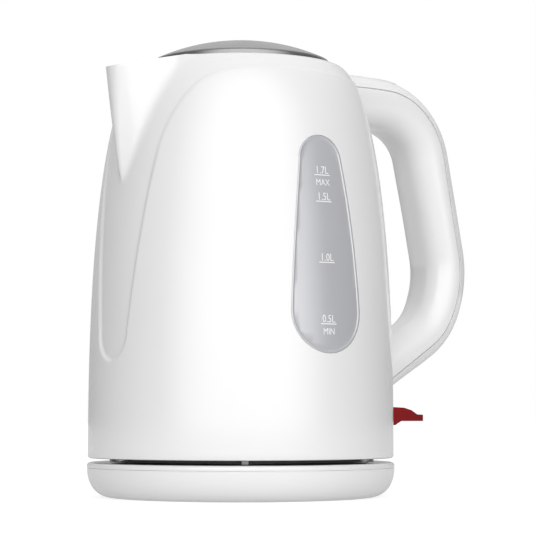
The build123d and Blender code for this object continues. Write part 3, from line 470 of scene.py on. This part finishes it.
def jugSideRows():
    # heights of the outside's rows, closest where the creases and the shoulder are
    rows = [footZ + jug["footRounds"][2]]
    while rows[-1] < jug["sideTop"]:
        z = rows[-1]
        step = 0.75 if 66 < z / mm < 86 or z / mm > 196 else 1.15 if z / mm > 150 else 2.3
        rows.append(z + step * mm)
    return rows


def outerRadius(turn, z):
    base = recessedRadius(z)
    away = borderDistance(abs(base * sin(turn)), z)
    raised = smoothstep(away / jug["creaseWidth"] + 0.5)
    radius = mix(base, raisedRadius(z), raised)
    forward = atan2(sin(turn), -cos(turn))
    nose = beakRadius(forward, z)
    if nose <= 0:
        return radius
    grown = (z - beak["lowZ"]) / (rimZ - beak["lowZ"])
    return softMax(radius, nose, mix(beak["blendLow"], beak["blendHigh"], grown))


def innerRadius(turn, z):
    radius = raisedRadius(z, jug["wall"])
    forward = atan2(sin(turn), -cos(turn))
    nose = beakRadius(forward, z - beak["floorRise"], beak["wall"])
    return max(radius, nose)


def shellProfile():
    # the whole wall's section: up the outside, over the rim, and down the inside
    chamfer, edgeRound = jug["footRounds"][:2]
    foot = recessedRadius(footZ)
    points = [(foot - chamfer, footZ), (foot - edgeRound, footZ + edgeRound)]
    points += [(recessedRadius(z), z) for z in jugSideRows()]
    last = points[-1][0]
    edge = jug["rim"] - jug["rimRecess"]
    for i in range(1, jug["crownRows"] + 1):
        r = mix(last, edge, (i / jug["crownRows"]) ** 0.8)
        lean = (r - edge) / (jugRadius - jug["recess"] - edge)
        points.append((r, footZ + (rimZ - footZ) * (1 - lean ** 2) ** (1 / jug["fullness"])))
    lip = jug["opening"]
    wide, small, deep = jug["lipRounds"]
    points += [(mix(edge, lip, 0.5), rimZ), (lip + wide, rimZ), (lip + small, rimZ - small)]
    points += [(lip, rimZ - deep), (lip, rimZ - jug["wall"])]
    innerTop = rimZ - jug["wall"] - 0.15 * mm
    for i in range(jug["innerRows"] + 1):
        z = mix(innerTop, footZ, (i / jug["innerRows"]) ** 1.3)
        points.append((raisedRadius(z, jug["wall"]), z))
    return points + [points[0]]


def buildShell():
    bm = bmesh.new()
    spinProfile(bm, shellProfile(), jug["columns"])
    for vert in bm.verts:
        r, z = hypot(vert.co.x, vert.co.y), vert.co.z
        turn = atan2(vert.co.y, vert.co.x)
        turn -= jug["crowding"] / 2 * sin(2 * turn)
        outside = r > recessedRadius(z) - 1.2 * mm and r > jug["rim"] - jug["rimRecess"] - 0.02 * mm
        if outside:
            r += outerRadius(turn, z) - recessedRadius(z)
        elif z < rimZ - jug["wall"] and r > jug["opening"] + 0.3 * mm:
            r += innerRadius(turn, z) - raisedRadius(z, jug["wall"])
        vert.co = (r * cos(turn), r * sin(turn), z)
    mouth = Vector((beak["mouthBackX"] + spoutReach, 0, rimZ - beak["mouthBackDrop"] - tipZ)).normalized()
    normal = Vector((-mouth.z, 0, mouth.x))
    cut = bmesh.ops.bisect_plane(
        bm, geom=bm.verts[:] + bm.edges[:] + bm.faces[:], dist=1e-6,
        plane_co=(-spoutReach, 0, tipZ), plane_no=normal, clear_outer=True,
    )
    edges = [g for g in cut["geom_cut"] if isinstance(g, bmesh.types.BMEdge)]
    bmesh.ops.triangle_fill(bm, use_beauty=True, use_dissolve=False, edges=edges, normal=normal)
    return bm


print("building the jug's wall")
shell = newPiece("jugShell", buildShell(), "white_gloss", "jug", ["jug_shell", "spout"])
print("jug wall:", len(shell.data.polygons), "faces")

# water windows: a smoked pane with a raised border, and its white marks
pane = {
    "lowZ": 72.0 * mm,
    "highZ": 180.0 * mm,
    "lowRadius": 20.8 * mm,
    "highRadius": 13.0 * mm,
    "bulge": 0.9 * mm,
    "slack": 0.12 * mm,            # open line between the pane and the jug
    # steps inwards from the pane's edge, and how deep the face lies there
    "edge": 0.55 * mm,
    "rings": ((0.14, 0.2), (0.2, 0.02), (0.3, -0.03), (0.35, 0.0), (0.2, 0.12), (0.25, 0.34), (0.2, 0.42)),
    "dish": 0.42 * mm,
    "cell": 2.6 * mm,
    "thickness": 2.3 * mm,
}


def paneOutline(grow=0.0, count=18):
    # the pane's edge as (x, z), once round
    low, high = pane["lowRadius"] + grow, pane["highRadius"] + grow
    lowC, highC = pane["lowZ"] + pane["lowRadius"], pane["highZ"] - pane["highRadius"]
    middle = ((low + high) / 2 + pane["bulge"], (lowC + highC) / 2)
    side = arcThrough((low, lowC), middle, (high, highC), count * 2)
    top = arcThrough((high, highC), (0, highC + high), (-high, highC), count)
    bottom = arcThrough((-low, lowC), (0, lowC - low), (low, lowC), count)
    other = [(-x, z) for x, z in reversed(side)]
    return side[:-1] + top[:-1] + other[:-1] + bottom[:-1]


def onJug(x, z, side, sink=0.0):
    # the point of the jug's raised side straight behind (x, z)
    r = raisedRadius(z) - sink
    return Vector((x, side * sqrt(max(0.0, r * r - x * x)), z))


def cutIntoCells(bm, first, last, cell, axis):
    # parallel cuts through the faces marked with material 1
    count = int((last - first) / cell)
    for i in range(1, count + 1):
        place = Vector((0, 0, 0))
        place[axis] = first + (last - first) * i / (count + 1)
        normal = Vector((0, 0, 0))
        normal[axis] = 1
        faces = [f for f in bm.faces if f.material_index == 1]
        edges = list({e for f in faces for e in f.edges})
        verts = list({v for f in faces for v in f.verts})
        bmesh.ops.bisect_plane(bm, geom=faces + edges + verts, dist=1e-7, plane_co=place, plane_no=normal)


def buildPane(side):
    bm = bmesh.new()
    face = bm.faces.new([bm.verts.new((x, 0, z)) for x, z in paneOutline(-pane["slack"])])
    sinks = {vert: pane["edge"] for vert in face.verts}
    for step, sink in pane["rings"]:
        bmesh.ops.inset_individual(bm, faces=[face], thickness=step * mm, use_even_offset=True)
        sinks.update({vert: sink * mm for vert in face.verts})
    face.material_index = 1
    cutIntoCells(bm, -pane["lowRadius"], pane["lowRadius"], pane["cell"], 0)
    cutIntoCells(bm, pane["lowZ"], pane["highZ"], pane["cell"] * 2, 2)
    for vert in bm.verts:
        vert.co = onJug(vert.co.x, vert.co.z, side, sinks.get(vert, pane["dish"]))
    for face in bm.faces:
        face.material_index = 0
        face.normal_update()
        if face.normal.y * side < 0:
            face.normal_flip()
    bmesh.ops.solidify(bm, geom=bm.faces[:], thickness=pane["thickness"])
    return bm


marks = {
    "levels": (("0.5L", 86.4), ("1.0L", 116.5), ("1.5L", 146.6), ("1.7L", 159.8)),
    "words": (("MIN", 82.0), ("MAX", 155.4)),
    "digitSize": 5.3 * mm,
    "wordSize": 4.5 * mm,
    "narrow": 0.86,
    "gap": 0.75 * mm,              # between a level line and its number
    "line": (4.6 * mm, 0.25 * mm),  # half length and half height
    "height": 0.05 * mm,
}


def addText(bm, text, size, z, side):
    curve = bpy.data.curves.new("mark", "FONT")
    curve.body = text
    curve.size = size
    curve.align_x = "CENTER"
    curve.resolution_u = 3
    curve.extrude = marks["height"]
    letters = bpy.data.objects.new("mark", curve)
    bpy.context.scene.collection.objects.link(letters)
    bpy.context.view_layer.update()
    depsgraph = bpy.context.evaluated_depsgraph_get()
    mesh = bpy.data.meshes.new_from_object(letters.evaluated_get(depsgraph))
    bpy.data.objects.remove(letters)
    start = len(bm.verts)
    bm.from_mesh(mesh)
    bpy.data.meshes.remove(mesh)
    bm.verts.ensure_lookup_table()
    for vert in bm.verts[start:]:
        x, rise, depth = vert.co
        sink = pane["dish"] - depth - marks["height"] / 2
        vert.co = onJug(-side * x * marks["narrow"], z + rise, side, sink)


def buildMarks(side):
    bm = bmesh.new()
    for text, z in marks["levels"]:
        addText(bm, text, marks["digitSize"], z * mm + marks["gap"], side)
        start = len(bm.verts)
        made = bmesh.ops.create_cube(bm, size=2.0)["verts"]
        edges = {e for v in made for e in v.link_edges}
        along = [e for e in edges if abs(e.verts[0].co.x - e.verts[1].co.x) > 1]
        bmesh.ops.subdivide_edges(bm, edges=along, cuts=8)
        bm.verts.ensure_lookup_table()
        for vert in bm.verts[start:]:
            x, depth, rise = vert.co
            vert.co = onJug(
                x * marks["line"][0], z * mm + rise * marks["line"][1], side,
                pane["dish"] - depth * marks["height"] - marks["height"] / 2,
            )
    for text, z in marks["words"]:
        addText(bm, text, marks["wordSize"], z * mm - marks["gap"], side)
    bmesh.ops.remove_doubles(bm, verts=bm.verts, dist=1e-7)
    bmesh.ops.recalc_face_normals(bm, faces=bm.faces)
    return bm


markPaint = makeMaterial("markPaint", mouldedFinish, {
    "Tint": grey(0.9), "Drift": grey(0.84), "Peel": 0.0, "Grain": 0.004, "Smooth": 0.4, "Worn": 0.5},
    {"IOR": 1.45})
for word, side in (("Right", -1), ("Left", 1)):
    newPiece("window" + word, buildPane(side), "window_grey", "jug", ["window_" + word.lower()], sharp=50)
    newPiece("levelMarks" + word, buildMarks(side), "white_satin", "jug", sharp=30, material=markPaint)
print("windows and marks done")

# the openings in the jug's wall: both windows, the switch's slot and the hinge's housing
openings = {
    "switchSlot": (70, 90, 11.3, 33.5, 48.0),     # x from, x to, half width, z from, z to
    "hinge": (40, 62.1, 16.1, 205.9, 232),
    "corner": 1.2 * mm,
    "windowFrom": 40 * mm,         # the window's cut starts this far from the middle
    "windowDepth": 60 * mm,
    "sharp": 32,                   # degrees past which an edge stays crisp after a cut
}


def addBlock(bm, x0, x1, half, z0, z1):
    matrix = Matrix.Translation(Vector(((x0 + x1) / 2, 0, (z0 + z1) / 2)) * mm)
    matrix @= Matrix.Diagonal(Vector(((x1 - x0) * mm, 2 * half * mm, (z1 - z0) * mm, 1)))
    made = bmesh.ops.create_cube(bm, size=1.0, matrix=matrix)["verts"]
    return list({e for v in made for e in v.link_edges})


def buildCutter():
    bm = bmesh.new()
    for side in (-1, 1):
        face = bm.faces.new([bm.verts.new((x, side * openings["windowFrom"], z)) for x, z in paneOutline()])
        pulled = bmesh.ops.extrude_face_region(bm, geom=[face], use_keep_orig=True)["geom"]
        moved = [g for g in pulled if isinstance(g, bmesh.types.BMVert)]
        bmesh.ops.translate(bm, verts=moved, vec=(0, side * openings["windowDepth"], 0))
    slot = addBlock(bm, *openings["switchSlot"])
    along = [e for e in slot if abs(e.verts[0].co.x - e.verts[1].co.x) > 1 * mm]
    bmesh.ops.bevel(
        bm, geom=along, offset=openings["corner"], affect="EDGES", segments=4, profile=0.5, material=-1,
    )
    addBlock(bm, *openings["hinge"])
    bmesh.ops.recalc_face_normals(bm, faces=bm.faces)
    return bm


def cutOut(piece, cutterMesh):
    # takes the cutter's shape out of the piece and keeps the result as its mesh
    cutter = bpy.data.objects.new("cutter", bpy.data.meshes.new("cutter"))
    cutterMesh.to_mesh(cutter.data)
    cutterMesh.free()
    bpy.context.scene.collection.objects.link(cutter)
    cut = piece.modifiers.new("cut", "BOOLEAN")
    cut.operation = "DIFFERENCE"
    cut.solver = "EXACT"
    cut.object = cutter
    bpy.context.view_layer.update()
    depsgraph = bpy.context.evaluated_depsgraph_get()
    mesh = bpy.data.meshes.new_from_object(piece.evaluated_get(depsgraph))
    piece.modifiers.clear()
    piece.data = mesh
    mesh.name = piece.name
    bpy.data.objects.remove(cutter)
    mesh.shade_smooth()
    mesh.set_sharp_from_angle(angle=radians(openings["sharp"]))


cutOut(shell, buildCutter())
print("openings cut,", len(shell.data.polygons), "faces in the wall")

# handle: an inner frame and an outer cover that meet at a seam, thinner towards its lower end
handle = {
    "route": ((46.6, 209.7), (112.5, 209.7), (131.0, 117.2), (122.0, 90.2), (70.0, 57.2)),
    "bends": (35.0, 50.0, 35.0),
    "topStart": 67.0,              # x of the first and last sections clear of the jug
    "lowEnd": 84.5,
    "topAbove": 150.0,             # z that parts the handle's top from its lower arm
    "longestEnd": 45 * mm,
    "jugGap": 0.15 * mm,
    "spacing": 2.4,
    "halfWidth": 16.5,
    "corner": 12.5,
    # share of the way from the top: depth towards the hand, depth outwards, seam outwards
    "shape": (
        (0.0, 13.5, 14.6, 6.6), (0.13, 13.4, 13.7, 6.2), (0.3, 12.0, 13.5, 5.2), (0.5, 11.1, 13.5, 4.3),
        (0.72, 11.0, 13.4, 4.6), (0.86, 10.2, 12.7, 5.2), (1.0, 9.6, 11.8, 5.6),
    ),
    "wall": 1.7,
    "gap": 0.1,
    "groove": 0.28,
    "seamStep": 0.2,
    "hingeX": 61.7,
    "buttonHole": (78.0, 98.0, 8.2, 216.7, 232.0),
    "buttonCorner": 3.2,
    "lowScrewSink": 6.0 * mm,      # the lower screws stand deeper, as the handle is thinner there
    "lowScrewWay": (0.536, 0, -0.844),
    "springKeep": 0.57,            # length left in the latch's spring when the button is down
}


def handleRoute():
    # the centreline with its bends, as closely spaced (x, z) points
    points = handle["route"]
    route = [points[0]]
    for before, corner, after, bend in zip(points, points[1:], points[2:], handle["bends"]):
        back = Vector((before[0] - corner[0], before[1] - corner[1])).normalized()
        on = Vector((after[0] - corner[0], after[1] - corner[1])).normalized()
        half = back.angle(on) / 2
        middle = (back + on).normalized()
        centre = Vector(corner) + middle * bend / sin(half)
        reach = bend / (sin(half) / cos(half))
        first, last = Vector(corner) + back * reach, Vector(corner) + on * reach
        route += arcThrough(first, centre - middle * bend, last, 24)
    return [Vector(p) for p in route + [points[-1]]]


def alongRoute():
    # even stations from the jug's top to its foot: place and way on, kept outside the jug
    route = handleRoute()
    stations = []
    left = 0.0
    for a, b in zip(route, route[1:]):
        length = (b - a).length
        while left < length:
            stations.append((a.lerp(b, left / length), (b - a).normalized()))
            left += handle["spacing"]
        left -= length
    top = [s for s in stations if s[0].y > handle["topAbove"] and s[0].x >= handle["topStart"]]
    low = [s for s in stations if s[0].y <= handle["topAbove"] and s[0].x >= handle["lowEnd"]]
    return top + low


def shapeAt(share):
    rows = handle["shape"]
    for before, after in zip(rows, rows[1:]):
        if share <= after[0]:
            t = smoothstep((share - before[0]) / (after[0] - before[0]))
            return [mix(a, b, t) for a, b in zip(before[1:], after[1:])]
    return rows[-1][1:]


def halfSection(inner, outer, seam, cover):
    # the outside of one half as (offset outwards, y), from one side of the seam to the other
    wide = handle["halfWidth"]
    corner = min(handle["corner"], (inner + outer) / 2 - 0.05)
    bend = asin((seam - outer + corner) / corner)
    edge = wide - corner + corner * cos(bend)
    side = 1 if cover else -1
    step = side * (handle["gap"] + handle["seamStep"])
    points = [(seam + side * handle["gap"], edge - handle["groove"]), (seam + step, edge)]
    turns = [mix(bend + 0.04, pi / 2, i / 9) for i in range(10)] if cover else [
        mix(bend - 0.04, 0, i / 4) for i in range(5)]
    points += [(outer - corner + corner * sin(a), wide - corner + corner * cos(a)) for a in turns]
    if not cover:
        turns = [mix(0, pi / 2, i / 10) for i in range(11)]
        points += [(corner - inner - corner * sin(a), wide - corner + corner * cos(a)) for a in turns]
    flat = [(points[-1][0], (wide - corner) * (1 - i / 2)) for i in range(1, 3)]
    whole = points + flat
    return whole + [(offset, -y) for offset, y in reversed(whole[:-1])]


def ontoJug(point, way):
    # slides a point along the handle until it meets the jug or the hinge's housing
    near, far = 0.0, handle["longestEnd"]
    for _ in range(26):
        middle = (near + far) / 2
        p = point + way * middle
        clear = hypot(p.x, p.y) > outerRadius(atan2(p.y, p.x), p.z) + handle["jugGap"]
        if clear and (p.z < handle["topAbove"] * mm or p.x > handle["hingeX"] * mm):
            near = middle
        else:
            far = middle
    return point + way * near


def buildHandleHalf(cover):
    stations = alongRoute()
    last = len(stations) + 1
    sections = [halfSection(*shapeAt(i / (last - 2)), cover) for i in range(last - 1)]
    across = len(sections[0]) - 1
    bm = bmesh.new()
    bmesh.ops.create_grid(bm, x_segments=last, y_segments=across, size=1.0)
    for vert in bm.verts:
        i, j = round((vert.co.x + 1) / 2 * last), round((vert.co.y + 1) / 2 * across)
        place, way = stations[min(max(i - 1, 0), last - 2)]
        offset, y = sections[min(max(i - 1, 0), last - 2)][j]
        vert.co = Vector((place.x - way.y * offset, y, place.y + way.x * offset)) * mm
        if i in (0, last):
            vert.co = ontoJug(vert.co, Vector((way.x, 0, way.y)) * (1 if i else -1))
    # the side wall has to look sideways, away from the handle's middle
    for face in bm.faces:
        face.normal_update()
    widest = max(bm.faces, key=lambda f: f.calc_center_median().y)
    if widest.normal.y < 0:
        bmesh.ops.reverse_faces(bm, faces=bm.faces)
    bmesh.ops.solidify(bm, geom=bm.faces[:], thickness=handle["wall"] * mm)
    return bm


def cutButtonHole(piece):
    bm = bmesh.new()
    block = addBlock(bm, *handle["buttonHole"])
    upright = [e for e in block if abs(e.verts[0].co.z - e.verts[1].co.z) > 1 * mm]
    bmesh.ops.bevel(
        bm, geom=upright, offset=handle["buttonCorner"] * mm, affect="EDGES", segments=6, profile=0.5,
        material=-1,
    )
    cutOut(piece, bm)


def nodeCopy(name):
    # the node's own shape with its loose triangles joined
    bm = bmesh.new()
    bm.from_mesh(nodes[name].data)
    bmesh.ops.remove_doubles(bm, verts=bm.verts, dist=1e-6)
    return bm


newPiece("handleFrame", buildHandleHalf(False), "white_gloss", "jug", ["handle_frame"])
cutButtonHole(newPiece("handleCover", buildHandleHalf(True), "white_gloss", "jug", ["handle_cover"]))

bm = nodeCopy("handle_screws")
lowScrews = [v for v in bm.verts if v.co.z < handle["topAbove"] * mm]
bmesh.ops.translate(bm, verts=lowScrews, vec=Vector(handle["lowScrewWay"]) * handle["lowScrewSink"])
newPiece("handleScrews", bm, "zinc_steel", "jug", ["handle_screws"])

# the latch's spring gets a mesh of its own; on the kettle it shortens as the button pushes the slider back
latchSpring = newPiece("latchSpring", nodeCopy("latch_spring"), "steel", "jug", ["latch_spring"])
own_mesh(latchSpring)
print("handle, screws and latch spring done")

# floor, lights and camera
studio = {
    "floorRadius": 6.0,
    "floorTint": 0.36,
    "floorGlow": 0.33,
    "floorShown": 0.4,             # more glow where it is seen directly, so that it stays pale
    "around": 0.07,                # light from all sides
    # soft lights: degrees round from the camera, degrees up, full within, gone beyond, strength
    "lights": (
        ("front", 5, 1, 18, 70, 2.25),
        ("back", 180, 45, 10, 75, 0.6),
        ("top", 0, 90, 20, 75, 0.32),
    ),
    "camera": (-0.6026, -0.9035, 0.0446),
    "aim": (0.0116, -0.0078, 0.118),
    "lens": 141,
    "sensor": 36,
}

floorPaint = makeMaterial("studioFloor", mouldedFinish, {
    "Tint": grey(studio["floorTint"]), "Drift": grey(studio["floorTint"] - 0.005), "Peel": 0.0, "Grain": 0.0,
    "Smooth": 0.6, "Worn": 0.65}, {"Emission Color": (1, 1, 1, 1)})
tree = floorPaint.node_tree
ray = addNode(tree, "ShaderNodeLightPath")
glow = combine(tree, "MULTIPLY", ray.outputs["Is Camera Ray"], studio["floorShown"])
glow = combine(tree, "ADD", glow, studio["floorGlow"])
tree.links.new(glow, tree.nodes["Principled BSDF"].inputs["Emission Strength"])
bm = bmesh.new()
bmesh.ops.create_circle(bm, cap_ends=True, segments=96, radius=studio["floorRadius"])
floorMesh = bpy.data.meshes.new("floor")
bm.to_mesh(floorMesh)
bm.free()
floorMesh.materials.append(floorPaint)
floor = bpy.data.objects.new("floor", floorMesh)
bpy.context.scene.collection.objects.link(floor)

world = bpy.data.worlds.new("studio")
bpy.context.scene.world = world
world.use_nodes = True
tree = world.node_tree
away = Vector(studio["camera"]) - Vector(studio["aim"])
place = addNode(tree, "ShaderNodeTexCoord")
strength = studio["around"]
for name, turned, up, inner, outer, power in studio["lights"]:
    turn = atan2(away.y, away.x) + radians(turned)
    towards = (cos(turn) * cos(radians(up)), sin(turn) * cos(radians(up)), sin(radians(up)))
    along = addNode(tree, "ShaderNodeVectorMath", {"operation": "DOT_PRODUCT", "label": name})
    tree.links.new(place.outputs["Generated"], along.inputs[0])
    along.inputs[1].default_value = towards
    soft = ramp(tree, along.outputs["Value"], cos(radians(outer)), cos(radians(inner)), 0.0, power)
    soft.node.interpolation_type = "SMOOTHSTEP"
    strength = combine(tree, "ADD", strength, soft)
around = tree.nodes["Background"]
around.inputs["Color"].default_value = (1, 1, 1, 1)
tree.links.new(strength, around.inputs["Strength"])
backdrop = addNode(tree, "ShaderNodeBackground", Color=(1, 1, 1, 1), Strength=1.0)
ray = addNode(tree, "ShaderNodeLightPath")
pick = addNode(tree, "ShaderNodeMixShader")
tree.links.new(ray.outputs["Is Camera Ray"], pick.inputs[0])
tree.links.new(around.outputs[0], pick.inputs[1])
tree.links.new(backdrop.outputs[0], pick.inputs[2])
tree.links.new(pick.outputs[0], tree.nodes["World Output"].inputs["Surface"])

view = bpy.data.cameras.new("camera")
view.lens = studio["lens"]
view.sensor_width = studio["sensor"]
view.clip_start = 0.01
camera = bpy.data.objects.new("camera", view)
camera.location = studio["camera"]
camera.rotation_euler = (-away).to_track_quat("-Z", "Y").to_euler()
bpy.context.scene.collection.objects.link(camera)
bpy.context.scene.camera = camera
bpy.context.scene.view_settings.view_transform = "Standard"
print("stage set")

bpy.context.view_layer.update()
